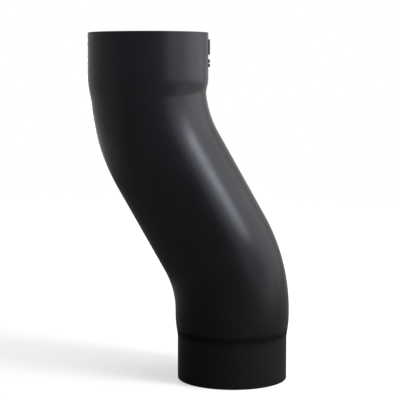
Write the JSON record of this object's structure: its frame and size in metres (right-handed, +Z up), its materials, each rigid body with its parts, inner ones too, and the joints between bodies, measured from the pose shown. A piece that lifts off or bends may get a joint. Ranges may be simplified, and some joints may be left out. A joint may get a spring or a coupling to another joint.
{
  "type": "downpipe offset bend",
  "caption": "Round steel downpipe offset bend: a formed tube with a widened socket, two opposed bends and a drawn-in spigot, coated satin black.",
  "frame": {"origin": "centre of the spigot's rim, at the foot", "axes": "+Z up along the spigot and the socket, -X towards the side that the socket is set over to, Y square to the plane of the bends"},
  "size_m": [0.1501, 0.0894, 0.2583],
  "materials": {
    "coated_steel": "satin black coating on formed sheet steel"
  },
  "bodies": {
    "root": {"offset_bend": "coated_steel"}
  },
  "joints": []
}
